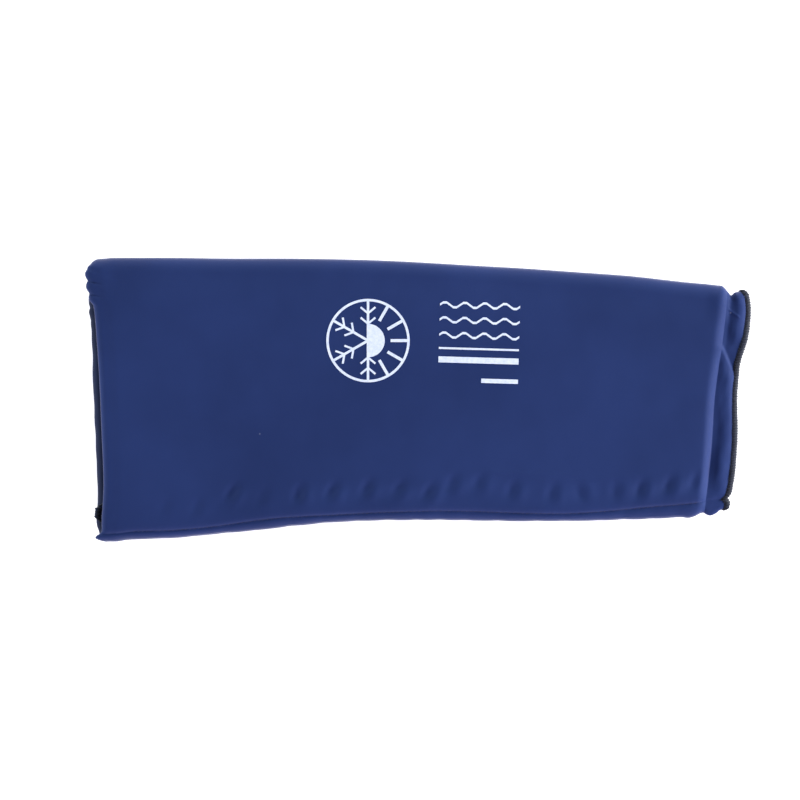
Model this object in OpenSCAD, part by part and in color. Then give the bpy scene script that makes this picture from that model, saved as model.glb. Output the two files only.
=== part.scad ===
// Gel compression sleeve for hot and cold therapy, lying flat.
// A tapered tube of two gel-filled walls, closed by one long seam, with a
// thread-wrapped hem at each end. +X runs from the wide end to the narrow end,
// +Y towards the folded edge, +Z up. Millimetres.

/* [Sleeve] */
// Overall length, hem to hem
sleeve_length = 400; // [320:5:440]
// Flat width across the wide end
wide_width = 169; // [140:1:190]
// Height of the hollow between the two walls while the sleeve lies flat
hollow_h = 5; // [4.5:0.5:8]

/* [Walls] */
// Thickness of the gel in each wall
gel_t = 5; // [4:0.5:6.5]
// Thickness of the outer fabric
cover_t = 0.8; // [0.6:0.1:1]
// Thickness of the inner lining
lining_t = 0.6; // [0.4:0.1:0.8]
// Thickness of each sealing film
film_t = 0.25; // [0.15:0.05:0.35]

/* [Hems] */
// How far the hem turns back inside the wide end
tuck_len = 8; // [6:0.5:9]
// Thickness of the thread wrapping on a hem's edge
wrap_t = 0.6; // [0.4:0.1:0.8]
// Width of the thread wrapping on a hem's edge
wrap_w = 3.6; // [2.5:0.1:4.5]

/* [Print] */
// Diameter of the round mark
mark_d = 50; // [30:1:54]
// Thickness of the printed film
print_t = 0.2; // [0.1:0.05:0.3]

/* [Hidden] */

navy = "#29396d";
navy_dark = "#1f2c58";
clear_film = "#b9c3d6";
gel_blue = "#4d8fc9";
thread_dark = "#23272f";
print_white = "#cfdbf2";

kx = sleeve_length / 400;
ky = wide_width / 169;
air = 0.04;                 // play between neighbouring layers
split = 0.15;               // each wall stops this far from the mid-plane at the fold
inner_h = hollow_h / 2;     // heights are measured from the sleeve's mid-plane
wall_t = cover_t + lining_t + 2 * film_t + gel_t + 4 * air;
outer_h = inner_h + wall_t;
laminate = cover_t + air + lining_t;
tuck_h = inner_h + wrap_t + 2 * air;
roll_r = (outer_h - tuck_h) / 2;
narrow_x = 178.1 * kx;      // where the gel ends at the narrow end
edge_x = 191.2 * kx;        // the narrow hem's edge
shoulder_r = 5;             // rounding of the gel's end

// Plan outline of the tube: [x, y] knots of the folded edge and of the seam edge.
FOLD_EDGE = [[-200, 84], [-120, 84.5], [-40, 84], [40, 80], [120, 74.2], [180, 68.3], [200, 66.6]];
SEAM_EDGE = [[-200, -84.67], [-150, -83.3], [-105, -79.4], [-50, -73.6], [0, -72.4],
             [100, -72.4], [140, -71.3], [180, -68], [200, -66.3]];
// Narrow hem's edge: [y, x] knots; the hem flares towards the folded edge.
HEM_EDGE = [[-58, 187], [-45, 190.2], [-28, 191.5], [0, 191.2], [22, 194.2], [36, 199.4],
            [50, 201.2], [66, 199.3]];
GRID = [for (i = [-10:10]) 20 * i];

// ---- curves ----
function segment(v, k, i = 0) = (i >= len(k) - 2 || v < k[i + 1][0]) ? i : segment(v, k, i + 1);
function knot_slope(k, i) =
    let (a = max(i - 1, 0), b = min(i + 1, len(k) - 1)) (k[b][1] - k[a][1]) / (k[b][0] - k[a][0]);
function through(v, k) =
    let (
        c = min(max(v, k[0][0]), k[len(k) - 1][0]),
        i = segment(c, k),
        d = k[i + 1][0] - k[i][0],
        u = (c - k[i][0]) / d
    )
    (2 * u ^ 3 - 3 * u ^ 2 + 1) * k[i][1] + (u ^ 3 - 2 * u ^ 2 + u) * d * knot_slope(k, i)
    + (3 * u ^ 2 - 2 * u ^ 3) * k[i + 1][1] + (u ^ 3 - u ^ 2) * d * knot_slope(k, i + 1);
FOLD = [for (g = GRID) [g, through(g, FOLD_EDGE)]];
SEAM = [for (g = GRID) [g, through(g, SEAM_EDGE)]];
function fold_y(x) = ky * lookup(x / kx, FOLD);
function seam_y(x) = ky * lookup(x / kx, SEAM);
function hem_x(y) = kx * through(y / ky, HEM_EDGE);
function gel_end_x(y) = narrow_x + 0.078 * y;
function arc(c, r, from, to, n) =
    [for (i = [0:n]) let (a = from + (to - from) * i / n) [c[0] + r * cos(a), c[1] + r * sin(a)]];
function reversed(p) = [for (i = [len(p) - 1:-1:0]) p[i]];
function unit(v) = v / norm(v);
function side_normal(p, i) =
    let (a = p[max(i - 1, 0)], b = p[min(i + 1, len(p) - 1)], d = unit(b - a)) [-d[1], d[0]];
function inset(p, d) = [for (i = [0:len(p) - 1]) p[i] - side_normal(p, i) * d];
function dropped(p, d) = [for (q = p) [q[0], q[1] - d]];
function grid_run(h) = [for (g = GRID) if (abs(g) <= 160) [g * kx, h]];
// An outline is a path and its other face, as (x, height, lift) points.
function lift_at(h) = lining_lift * max(0, min(1, (gel_high - h) / gel_t));
function outline(top, low, gel_zone = false) =
    [for (p = concat(top, reversed(low))) [p[0], p[1], gel_zone ? lift_at(p[1]) : 0]];

// ---- the tube's cross-section ----
// A station is [a, d, outer y, outer z, inner y, inner z, pinch]. a blends from the seam
// side (0) to the folded side (1), d moves along Y. Layers lie between the inner and the
// outer point by their height; the pinch lifts the inner layers up to the cover.
slope_w = 22;               // the front wall falls away this far before the seam
seam_gap = 0.3;             // between the two walls' edges in the seam
function turned(a, side, angle, up) =
    let (c = side * cos(angle), s = up * sin(angle))
    [a, 0, outer_h * c, outer_h * s, inner_h * c, inner_h * s, 0];
function across(n, d, up) =
    [for (i = [1:n - 1]) [1 - i / n, d * i / n, 0, up * outer_h, 0, up * inner_h, 0]];
function fold_side(up) = concat(
    [[1, 0, outer_h, up * split, inner_h, up * split, 0]],
    [for (a = [30, 60, 90]) turned(1, 1, a, up)]
);
front_valley = [
    [0, slope_w, 0, outer_h, 0, inner_h, 0],
    [0, slope_w / 2, 0, 0.965 * outer_h, 0, inner_h, 0],
    [0, 4, 0, 0.9 * outer_h, 0, inner_h, 0.1],
    [0, 0, 0, 0.82 * outer_h, 0.5 * inner_h, 0.98 * inner_h, 0.35],
    [0, 0, -0.23 * outer_h, 0.72 * outer_h, 0.08 * inner_h, 0.94 * inner_h, 0.75]
];
front_seam = [[0, 0, -0.325 * outer_h, 0.52 * outer_h, -0.74 * inner_h, 0.92 * inner_h, 1]];
back_edge = concat(
    [for (a = [90, 60, 30]) turned(0, -1, a, -1)],
    [
        [0, 0, -outer_h, 0, -inner_h, 0, 0],
        [0, 0, -0.92 * outer_h, 0.36 * outer_h, -0.97 * inner_h, 0.4 * inner_h, 0],
        [0, 0, -0.67 * outer_h, 0.68 * outer_h, -0.95 * inner_h, 0.76 * inner_h, 0.25],
        [0, 0, -0.47 * outer_h, 0.66 * outer_h, -0.92 * inner_h, 0.9 * inner_h, 0.7]
    ]
);
back_seam = [for (s = front_seam) [0, -seam_gap, s[2], s[3], s[4], s[5], s[6]]];
function stations(front, n, to_seam) = front
    ? concat(fold_side(1), across(n, slope_w, 1), front_valley, to_seam ? front_seam : [])
    : concat(fold_side(-1), across(n, 0, -1), back_edge, to_seam ? back_seam : []);

function place(x, h, s) =
    let (
        t = (h - inner_h) / (outer_h - inner_h),
        y = s[0] * (fold_y(x) - outer_h) + (1 - s[0]) * (seam_y(x) + outer_h) + s[1]
            + s[4] + t * (s[2] - s[4]),
        z = outer_h + s[5] + t * (s[3] - s[5]),
        u = min(max((x + 195 * kx) / (narrow_x + 195 * kx), 0), 1),
        f = (x - narrow_x) / (edge_x - narrow_x),
        leaned = x - 0.04 * y * (1 - u) + (gel_end_x(y) - narrow_x) * u,
        in_hem = gel_end_x(y) + f * (hem_x(y) - gel_end_x(y))
    )
    [x <= narrow_x ? leaned : in_hem, y, z];

// Sweeps an outline across the tube, from its folded edge to its seam edge.
module across_wall(o, front, n, to_seam = true) {
    s = stations(front, n, to_seam);
    m = len(o);
    last = (len(s) - 1) * m;
    points = [for (st = s) for (p = o) place(p[0], p[1] + p[2] * st[6], st)];
    sides = [for (j = [0:len(s) - 2]) for (i = [0:m - 1])
        let (k = (i + 1) % m) [j * m + i, j * m + k, (j + 1) * m + k, (j + 1) * m + i]];
    start = [for (i = [0:m / 2 - 2]) [m - 1 - i, m - 2 - i, i + 1, i]];
    end = [for (i = [0:m / 2 - 2]) [last + i, last + i + 1, last + m - 2 - i, last + m - 1 - i]];
    faces = concat(sides, start, end);
    triangles = [for (q = faces) each [[q[0], q[1], q[2]], [q[0], q[2], q[3]]]];
    polyhedron(points, front ? triangles : [for (q = triangles) reversed(q)]);
}

// Sweeps a section, as (y, height) from the seam side's centre, along the tube. Its first
// half is one face and its second half the other face, back again.
module along_seam(section, xs) {
    m = len(section);
    last = (len(xs) - 1) * m;
    points = [for (x = xs) for (p = section)
        place(x, inner_h, [0, 0, 0, 0, p[0], p[1], 0])];
    sides = [for (j = [0:len(xs) - 2]) for (i = [0:m - 1])
        let (k = (i + 1) % m) [j * m + i, (j + 1) * m + i, (j + 1) * m + k, j * m + k]];
    start = [for (i = [0:m / 2 - 2]) [i, i + 1, m - 2 - i, m - 1 - i]];
    end = [for (i = [0:m / 2 - 2]) [last + m - 1 - i, last + m - 2 - i, last + i + 1, last + i]];
    faces = concat(sides, start, end);
    polyhedron(points, [for (q = faces) each [[q[0], q[1], q[2]], [q[0], q[2], q[3]]]]);
}

// ---- outlines of the layers ----
function wide_x(front) = (front ? -192.4 : -196.8) * kx;
function roll_x(front) = wide_x(front) + roll_r;
hem_path = [
    [narrow_x + 2.2, inner_h + 2],
    [narrow_x + 4.5, inner_h + 1.8],
    [narrow_x + 8, inner_h + 2.7],
    [edge_x - 1, inner_h + 3.8]
];
shoulder = arc([narrow_x - shoulder_r, outer_h - shoulder_r], shoulder_r, 90, 10, 4);
function cover_body(front) = concat(
    [[roll_x(front) + tuck_len, tuck_h]],
    arc([roll_x(front), tuck_h + roll_r], roll_r, 270, 90, 6),
    [[-180 * kx, outer_h]],
    grid_run(outer_h),
    shoulder
);
function cover_outline(front) = outline(
    concat(cover_body(front), hem_path),
    concat(inset(cover_body(front), cover_t), dropped(hem_path, cover_t))
);

lining_top = inner_h + lining_t;
lining_lift = wall_t - cover_t - air - lining_t;
function lining_line(front) =
    let (c = roll_x(front), d = cover_t + air, up = outer_h - d)
    concat(
        [[c + tuck_len, tuck_h + d, 0]],
        [for (p = arc([c, tuck_h + roll_r], roll_r - d, 270, 90, 6)) [p[0], p[1], 0]],
        [[c + 9.5, up, 0], [c + 11.6, up - 1.4, 1.4], [c + 12.3, up - 3, 3]],
        [[c + 12.9, lining_top + 1, up - lining_top - 1], [c + 14.6, lining_top, lining_lift]],
        [for (p = grid_run(lining_top)) [p[0], p[1], lining_lift]],
        [[narrow_x - 5, lining_top, lining_lift], [narrow_x - 1, lining_top, 0.4 * lining_lift]],
        [for (p = dropped(hem_path, d)) [p[0], p[1], 0]]
    );
function lining_outline(front) =
    let (top = lining_line(front), low = inset([for (p = top) [p[0], p[1]]], lining_t), n = len(top))
    concat(top, [for (i = [n - 1:-1:0]) i > n - 5
        ? [top[i][0], top[i][1] - lining_t, 0]
        : [low[i][0], low[i][1], top[i][2]]]);

gel_low = lining_top + film_t + 2 * air;
gel_high = gel_low + gel_t;
function gel_from(front) = roll_x(front) + 15.4;
gel_to = narrow_x - 2.4;
function gel_top(front) =
    let (a = gel_from(front), b = gel_to)
    concat(
        [[a, gel_low + 0.9], [a + 0.15, gel_high - 2.4], [a + 0.8, gel_high - 0.8]],
        [[a + 2.3, gel_high]],
        grid_run(gel_high),
        [[b - 2.7, gel_high], [b - 1, gel_high - 0.9]],
        [[b - 0.15, gel_high - 2.4], [b, gel_low + 0.9]]
    );
function gel_outline(front) =
    let (a = gel_from(front), b = gel_to)
    outline(
        gel_top(front),
        concat(
            [for (d = [0.4, 1, 1.8, 3]) [a + d, gel_low]],
            grid_run(gel_low),
            [for (d = [3, 1.8, 1, 0.4]) [b - d, gel_low]]
        ),
        true
    );
function outer_film_outline(front) =
    let (p = inset(gel_top(front), -film_t - air))
    outline(p, inset(gel_top(front), -air), true);
function inner_film_outline(front) =
    let (
        p = concat(
            [[gel_from(front) - 0.5, gel_low - air]],
            grid_run(gel_low - air),
            [[gel_to + 0.5, gel_low - air]]
        )
    )
    [for (q = concat(p, reversed(dropped(p, film_t)))) [q[0], q[1], lining_lift]];

// A thread wrapping is a U round a laminate's edge; mid is the edge's middle.
function wrap_path(mid, along) =
    let (
        r = laminate / 2 + 3 * air + wrap_t / 2,
        n = [0, 1],
        tip = mid + along * (3 * air + wrap_t / 2 - r * 0.35)
    )
    concat(
        [mid - along * wrap_w / 2 - n * r],
        [for (a = [-75:37.5:75]) tip + r * (along * 0.35 * cos(a) + n * sin(a))],
        [mid - along * wrap_w / 2 + n * r]
    );
function wrap_outline(p) = outline(inset(p, -wrap_t / 2), inset(p, wrap_t / 2));

seam_run = [for (g = GRID) if (abs(g) <= 160) g * kx];

// ---- front wall ----
module front_cover() color(navy) across_wall(cover_outline(true), true, 5);
module front_outer_film() color(clear_film)
    across_wall(outer_film_outline(true), true, 2, false);
module front_gel() color(gel_blue) across_wall(gel_outline(true), true, 2, false);
module front_inner_film() color(clear_film)
    across_wall(inner_film_outline(true), true, 2, false);
module front_lining() color(navy_dark) across_wall(lining_outline(true), true, 5);
module front_wide_hem_thread() color(thread_dark)
    across_wall(wide_wrap(true), true, 5);
module front_narrow_hem_thread() color(thread_dark)
    across_wall(narrow_wrap(), true, 5);

function wide_wrap(front) = wrap_outline(reversed(
    wrap_path([roll_x(front) + tuck_len, tuck_h + laminate / 2], [1, 0])));
function narrow_wrap() =
    let (along = unit(hem_path[3] - hem_path[2]))
    wrap_outline(reversed(wrap_path(hem_path[3] - [0, laminate / 2], along)));

// ---- back wall ----
module back_cover() color(navy) across_wall(cover_outline(false), false, 5);
module back_outer_film() color(clear_film)
    across_wall(outer_film_outline(false), false, 2, false);
module back_gel() color(gel_blue) across_wall(gel_outline(false), false, 2, false);
module back_inner_film() color(clear_film)
    across_wall(inner_film_outline(false), false, 2, false);
module back_lining() color(navy_dark) across_wall(lining_outline(false), false, 5);
module back_wide_hem_thread() color(thread_dark)
    across_wall(wide_wrap(false), false, 5);
module back_narrow_hem_thread() color(thread_dark)
    across_wall(narrow_wrap(), false, 5);

// ---- the long seam ----
module long_seam_thread() {
    y = -0.352 * outer_h;
    z = 0.58 * outer_h;
    section = [for (a = [0:60:300]) [y + 0.3 * cos(a), z + 0.3 * sin(a)]];
    color(thread_dark) along_seam(section, concat([-172 * kx], seam_run, [170 * kx]));
}
// The two walls' edges, sewn together and turned to the inside.
allow_low = -inner_h + wrap_t + 2 * air;
allow_high = allow_low + 2.7;
module seam_allowance() {
    section = [
        [-2.5, 3.7], [-1.3, 3.9], [-0.6, 1.9], [1, allow_high], [5.3, allow_high],
        [6, allow_high - 0.35], [6, allow_low + 0.35], [5.3, allow_low], [0, allow_low], [-1.4, -1.5], [-2, 0], [-2.1, 1.5]
    ];
    color(navy_dark) along_seam(reversed(section), concat([-168 * kx], seam_run, [166 * kx]));
}
module seam_allowance_thread() {
    a = allow_low - air;
    b = allow_high + air;
    section = [
        [2.8, a], [5.4, a], [6.04, a + 0.3], [6.04, b - 0.3], [5.4, b], [2.8, b],
        [2.8, b + wrap_t], [5.6, b + wrap_t], [6.6, b - 0.1], [6.6, a + 0.1],
        [5.6, a - wrap_t + air], [2.8, a - wrap_t + air]
    ];
    color(thread_dark) along_seam(reversed(section), concat([-168 * kx], seam_run, [166 * kx]));
}

// ---- the print on the front ----
print_z = 2 * outer_h + 0.02;
mark_at = [-30, 35];
lines_at = [11.7, 7];
module spoke(angle, from, to, w) rotate(angle) translate([from, -w / 2]) square([to - from, w]);
module flake_arm(angle, r) {
    spoke(angle, 0, r, 1.5);
    for (d = [0.42, 0.68]) for (lean = [-1, 1])
        rotate(angle) translate([d * r, 0]) rotate(lean * 50) translate([0, -0.6]) square([0.24 * r, 1.2]);
}
module printed_mark() {
    r = mark_d / 2;
    color(print_white) translate([mark_at[0] * kx, mark_at[1] * ky, print_z])
        linear_extrude(print_t) {
            difference() {
                circle(r, $fn = 72);
                circle(r - 1.5, $fn = 72);
            }
            for (a = [90, 150, 210, 270]) flake_arm(a, r - 1);
            intersection() {
                circle(0.4 * r, $fn = 48);
                translate([0, -r]) square([r, 2 * r]);
            }
            for (a = [-60:30:60]) spoke(a, 0.54 * r, r - 1, 1.8);
        }
}
module wave(w, y) {
    top = [for (i = [0:24]) [w * i / 24, y + 1.6 * sin(i * 60) + 0.7]];
    low = [for (i = [24:-1:0]) [w * i / 24, y + 1.6 * sin(i * 60) - 0.7]];
    polygon(concat(top, low));
}
module printed_lines() {
    color(print_white) translate([lines_at[0] * kx, lines_at[1] * ky, print_z])
        rotate(-1.67) linear_extrude(print_t) {
            for (y = [49.6, 40.6, 31.5]) wave(48, y);
            translate([0, 23]) square([48, 1.2]);
            translate([0, 15]) square([48, 3.6]);
            translate([26, 3.4]) square([22, 2.6]);
        }
}

front_cover();
front_outer_film();
front_gel();
front_inner_film();
front_lining();
front_wide_hem_thread();
front_narrow_hem_thread();
back_cover();
back_outer_film();
back_gel();
back_inner_film();
back_lining();
back_wide_hem_thread();
back_narrow_hem_thread();
long_seam_thread();
seam_allowance();
seam_allowance_thread();
printed_mark();
printed_lines();
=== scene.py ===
"""Looks of the gel compression sleeve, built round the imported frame.

The sleeve is a cross-section carried along its length by place(), to which displaced() adds dents, puckers
and creases. Its layers are the same surface at other heights. +X runs to the narrow end, +Y to the folded
edge and +Z up. Lengths are in millimetres until mesh() makes an object of them.
"""
import bpy
import bmesh
import math
import numpy as np
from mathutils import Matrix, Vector


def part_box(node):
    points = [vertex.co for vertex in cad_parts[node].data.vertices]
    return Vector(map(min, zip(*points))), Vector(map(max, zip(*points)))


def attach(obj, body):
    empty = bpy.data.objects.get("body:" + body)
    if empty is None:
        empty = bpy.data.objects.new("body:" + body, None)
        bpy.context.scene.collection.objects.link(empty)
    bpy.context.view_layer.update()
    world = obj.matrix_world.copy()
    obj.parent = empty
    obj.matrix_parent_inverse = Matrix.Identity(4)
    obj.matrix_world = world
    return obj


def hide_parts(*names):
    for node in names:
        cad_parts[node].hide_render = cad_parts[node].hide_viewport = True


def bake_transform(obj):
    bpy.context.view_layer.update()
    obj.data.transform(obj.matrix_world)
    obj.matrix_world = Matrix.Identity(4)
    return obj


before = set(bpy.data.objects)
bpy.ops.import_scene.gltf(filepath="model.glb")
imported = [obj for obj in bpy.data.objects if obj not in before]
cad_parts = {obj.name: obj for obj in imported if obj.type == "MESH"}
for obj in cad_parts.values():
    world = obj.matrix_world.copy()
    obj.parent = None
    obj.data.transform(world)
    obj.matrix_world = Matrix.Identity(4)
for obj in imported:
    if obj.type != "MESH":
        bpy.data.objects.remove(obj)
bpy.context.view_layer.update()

# ---------------------------------------------------------------- sizes, as in the CAD
OUTER_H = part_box("front_cover")[1].z * 1000 / 2   # half the sleeve's thickness
INNER_H = 2.5                                     # half the hollow's height
COVER_T = 0.8
LINING_T = 0.6
FILM_T = 0.25
GEL_T = 5
AIR = 0.04                                        # play between neighbouring layers
LINING_ROOM = LINING_T + 2 * AIR                  # room that the lining takes in the hollow
SEAM_OFFSET = 3.2                                 # the long seam's line, out from the middle of its side
NARROW_X = 178.1                                  # where the gel ends at the narrow end
EDGE_X = 191.2                                    # the narrow hem's edge
WIDE_X = -194                                     # the wide end, before its own outline is added
SHOULDER_X = 171.2                                # where the face starts to fall at the gel's narrow end
WIDE_LEAN = 0.04                                  # how far each end is from square, along over across
NARROW_LEAN = 0.078
LEAN_FROM_X = -195                                # the lean changes evenly from here to the gel's narrow end
SEAM_LIFT = OUTER_H - INNER_H - COVER_T - AIR - LINING_T   # how far the lining rises into the seam
GEL_LIFT = 0.93 * SEAM_LIFT
GEL_LOW = INNER_H + LINING_T + FILM_T + 2 * AIR
GEL_HIGH = GEL_LOW + GEL_T

# the rolled hem at the wide end
TUCK_H = INNER_H + LINING_ROOM                    # height of the cover's turned-in part
TUCK_LENGTH = 8
EDGE_DROP = 0.45                                  # the roll's top under the face of the body
ROLL = (OUTER_H - EDGE_DROP - TUCK_H) / 2         # half the roll's height
ROLL_LENGTH = 1.5 * ROLL
ROLL_X = WIDE_X + ROLL_LENGTH

# ---------------------------------------------------------------- outlines, as (along, across) knots
FOLD_EDGE = [(-200, 85), (-155, 85.2), (-120, 84.8), (-40, 84.1), (40, 80), (120, 74.4), (165, 69.5),
             (178, 67.8), (186, 66.2), (200, 65.2)]
SEAM_EDGE = [(-200, -87), (-184, -86), (-174, -84.7), (-150, -83.8), (-105, -79.8), (-50, -74.4), (0, -73),
             (80, -73.7), (140, -72.5), (165, -71.3), (180, -69.8), (200, -68.6)]
# how far the long seam strays across from its plain line
SEAM_SHIFT = [(-190, -1), (-130, -1.5), (-90, -0.2), (-50, -1.6), (-15, -1.2), (25, -0.6), (90, -1.7),
              (115, -0.8), (145, 1.2), (170, 1.8), (190, 1.6)]
# how far the back wall's hem hangs below the front's at the narrow end
HANG = [(165, 0), (169, 0.6), (175.3, -0.1), (177.3, 1.1), (178.9, 3.1), (182.3, 5.4), (185.7, 4.4),
        (188, 2.9), (191, 2.1)]

# how far each wall's cloth reaches at the two ends, as (across, along) knots
NARROW_FRONT = [(-60, 185.2), (-58.2, 187.1), (-56, 188.3), (-45, 190.2), (-35, 191.1), (-20, 191.9),
                (0, 191.6), (14, 192.6), (22, 193.5), (36, 197.9), (50, 199.8), (60, 199.3), (66, 196.9)]
NARROW_BACK = [(-67, 184), (-65.5, 186.4), (-62.5, 187.4), (-60.6, 186.6), (-59.4, 184.6), (-55, 187),
               (-45, 189.2), (-28, 190.5), (0, 190.3), (14, 191.2), (22, 192.6), (36, 197), (50, 199),
               (60, 198.4), (66, 196.4)]
# the folded corner of the wide end is the same on both walls
WIDE_CORNER = [(79.5, -198.4), (81, -197.1), (82.5, -196.6), (85.2, -195.8)]
WIDE_FRONT = [(-86, -191.2), (-85, -193.4), (-83.6, -194.2), (-82.2, -193.2), (-80.8, -191), (-79.4, -190),
              (-72, -189.9), (-62, -189.2), (-49, -188.8), (-19, -190), (11, -191.3), (35, -192.9),
              (50, -194.1), (56, -195), (60, -196.6), (66, -198), (72, -198.8), (76, -199.1),
              (77.5, -198.9)] + WIDE_CORNER
WIDE_BACK = [(-86, -191.2), (-85, -192.4), (-81, -192.2), (-76, -193.7), (-70, -194.1), (-62, -193.6),
             (-49, -193.8), (-19, -195), (11, -196.4), (35, -197.1), (50, -197.9), (66, -199.4), (72, -200.3),
             (76, -200.6), (77.5, -200)] + WIDE_CORNER

# ---------------------------------------------------------------- the narrow hem
# height of its face on the front wall: across, then seven even places from the gel's end to the edge
HEM_FACE = [(-60, 5.9, 5.7, 5.5, 5.4, 5.2, 4.5, 3.6), (-52, 5.0, 5.2, 5.5, 5.6, 5.2, 4.3, 3.3),
            (-40, 4.3, 4.9, 5.8, 5.9, 5.3, 4.3, 3.3), (-20, 4.9, 4.9, 5.3, 5.5, 5.2, 4.2, 3.1),
            (0, 5.7, 5.8, 5.9, 5.8, 5.3, 4.0, 2.9), (11, 5.9, 6.0, 6.0, 5.9, 5.2, 3.8, 2.8),
            (17, 5.5, 5.4, 5.1, 4.6, 4.0, 3.6, 3.1), (21, 5.1, 5.1, 4.8, 4.3, 4.1, 3.8, 3.4),
            (24, 5.2, 5.0, 4.8, 4.5, 4.3, 4.0, 3.5), (27, 5.3, 5.0, 4.9, 4.8, 4.6, 4.2, 3.6),
            (30, 5.5, 5.1, 5.0, 4.9, 4.7, 4.3, 3.6), (33, 5.4, 4.9, 4.9, 5.0, 4.9, 4.5, 3.6),
            (38, 5.4, 4.9, 5.3, 5.8, 5.4, 4.5, 3.5), (45, 5.6, 5.1, 5.6, 5.9, 5.3, 3.8, 2.7),
            (50, 6.2, 5.2, 5.5, 5.9, 5.4, 3.9, 2.7), (55, 6.4, 5.3, 5.4, 5.9, 5.7, 4.3, 2.7),
            (60, 6.2, 5.1, 5.3, 5.7, 5.3, 4.0, 2.6), (66, 6.0, 5.4, 5.0, 4.9, 4.7, 4.2, 3.5)]
# height on the back wall, over the hem's length from 0 to 1
HEM_REAR = [(0, 6.2), (0.167, 5.2), (0.333, 4.3), (0.5, 4.8), (0.667, 5.2), (0.833, 4.8), (1, 4)]
# how far its folded corner stands out past the fold line, over the hem's length from 0 to 1
CORNER = [(0, 0), (0.1, -0.3), (0.23, -1.3), (0.31, -0.2), (0.42, 1.9), (0.58, 2.8), (0.8, 3.8), (1, 4.9)]
# how far the end of the gel, a ridge across the cover, stands from the plain lean: across, along
RIDGE = [(-60, -0.5), (-37, 0.5), (-18, 0.3), (0, -0.1), (23, 1.1), (33, 2), (55, 2.7), (66, 2.6)]

# ---------------------------------------------------------------- the gathered corner of the wide hem
GATHER_Y = 71                                     # one of its notches
GATHER_PITCH = 7.6                                # from notch to notch
GATHER_X = -199.5                                 # the gathered edge, where its creases start

# soft dents beside the long seam: along the sleeve, above the seam, lean in degrees, strength
PUCKERS = [(-152, 15, 62, 0.3), (-133, 13, 60, 0.45), (-112, 19, 52, 1.15), (-94, 14, 58, 0.4),
           (-72, 14, 70, 1.05), (-52, 15, 56, 1.1), (-31, 15.5, 56, 1.05), (-12, 14.5, 46, 0.95),
           (6, 12, 54, 1.05), (20, 17, 58, 0.8), (36, 18, 60, 0.75), (56, 14, 65, 0.85), (80, 13, 68, 0.75),
           (97, 12, 105, 0.65), (118, 12, 85, 0.6), (133, 12, 68, 1.05), (150, 13, 62, 1.1),
           (166, 14, 66, 0.9)]

# ---------------------------------------------------------------- the section round the long seam
# outer y z and inner y z from the middle of the tube's seam side, then pinch, front and bump, as in section()
GROOVE_Y = -3.3
GROOVE_Z = 6.75
SEAM_REACH = 26                                   # how far the seam's own shape reaches over the front wall
SEAM_SECTION = [
    (SEAM_REACH, 9.56, SEAM_REACH, 2.5, 0, 1, 0),
    (18, 9.52, 18, 2.5, 0, 1, 0),
    (11, 9.4, 11, 2.5, 0.02, 1, 0.2),
    (6, 9.2, 6, 2.5, 0.06, 1, 0.5),
    (3, 9.05, 3.4, 2.5, 0.15, 1, 0.75),
    (1, 8.85, 1.8, 2.5, 0.3, 1, 0.95),
    (-0.5, 8.6, 0.7, 2.45, 0.45, 1, 1),
    (-1.6, 8.25, 0, 2.4, 0.62, 1, 1),
    (-2.4, 7.8, -0.8, 2.35, 0.8, 1, 1),
    (-2.85, 7.35, -1.3, 2.3, 0.92, 1, 1),
    (-3.1, 6.95, -1.7, 2.3, 1, 1, 1),
    (GROOVE_Y, GROOVE_Z, -2, 2.3, 1, 1, 1),
    (-3.55, 6.85, -2.2, 2.3, 0.9, 1, 1),
    (-3.9, 7.0, -2.3, 2.25, 0.7, 0.97, 0.97),
    (-4.5, 7.05, -2.35, 2.1, 0.5, 0.93, 0.85),
    (-5.4, 6.9, -2.4, 1.95, 0.3, 0.88, 0.65),
    (-6.5, 6.45, -2.42, 1.7, 0.15, 0.8, 0.45),
    (-7.55, 5.65, -2.44, 1.4, 0.05, 0.7, 0.25),
    (-8.4, 4.7, -2.46, 1.1, 0, 0.6, 0.1),
    (-9.1, 3.1, -2.48, 0.7, 0, 0.5, 0),
    (-9.47, 1.5, -2.5, 0.35, 0, 0.42, 0),
    (-9.56, 0, -2.5, 0, 0, 0.35, 0),
]


# ---------------------------------------------------------------- curves
def through(v, knots):
    """A smooth curve through (place, value) knots, level beyond them."""
    k = np.asarray(knots, float)
    x, y = k[:, 0], k[:, 1]
    slope = np.empty(len(x))
    slope[1:-1] = (y[2:] - y[:-2]) / (x[2:] - x[:-2])
    slope[0] = (y[1] - y[0]) / (x[1] - x[0])
    slope[-1] = (y[-1] - y[-2]) / (x[-1] - x[-2])
    c = np.clip(v, x[0], x[-1])
    i = np.clip(np.searchsorted(x, c, side="right") - 1, 0, len(x) - 2)
    d = x[i + 1] - x[i]
    u = (c - x[i]) / d
    return ((2 * u**3 - 3 * u**2 + 1) * y[i] + (u**3 - 2 * u**2 + u) * d * slope[i]
            + (3 * u**2 - 2 * u**3) * y[i + 1] + (u**3 - u**2) * d * slope[i + 1])


def smooth(a, b, v):
    """0 at a and 1 at b, eased at both. a may be the greater."""
    t = np.clip((v - a) / (b - a), 0, 1)
    return t * t * (3 - 2 * t)


def bell(v, width):
    """1 at 0, falling away on both sides."""
    return np.exp(-(v / width) ** 2)


def waves(x, y, length, seed):
    """A gentle, seamless random field between about -1 and 1."""
    count = 7
    r = np.random.RandomState(seed)
    out = np.zeros(np.broadcast(x, y).shape)
    for _ in range(count):
        a = r.uniform(0, 2 * math.pi)
        k = 2 * math.pi / (length * r.uniform(0.7, 1.6))
        out = out + np.sin(k * (x * math.cos(a) + y * math.sin(a)) + r.uniform(0, 6.3))
    return out / math.sqrt(count) / 1.4


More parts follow.
